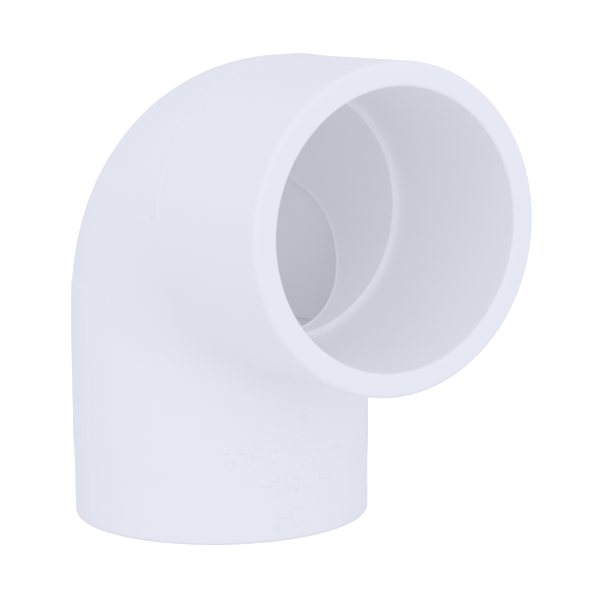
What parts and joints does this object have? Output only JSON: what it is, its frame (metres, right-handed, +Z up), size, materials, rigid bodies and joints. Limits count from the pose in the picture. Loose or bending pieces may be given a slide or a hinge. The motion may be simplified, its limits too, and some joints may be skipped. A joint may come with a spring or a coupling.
{
  "type": "pvc elbow fitting",
  "caption": "White PVC quarter-turn elbow with two slip sockets at right angles, for solvent-cemented irrigation and pressure pipe.",
  "frame": {"origin": "middle of the bounding box's footprint, on the plane of the lower socket's rim, on which the elbow stands", "axes": "+Z up, the way the lower socket's axis points into the bend; +X the way the side socket opens; Y = 0 is the plane of symmetry that holds both socket axes"},
  "size_m": [0.0894, 0.0578, 0.0895],
  "materials": {
    "white_pvc": "semi-gloss injection-moulded rigid PVC, white with a slightly cool cast"
  },
  "bodies": {
    "root": {"elbow_body": "white_pvc"}
  },
  "joints": []
}
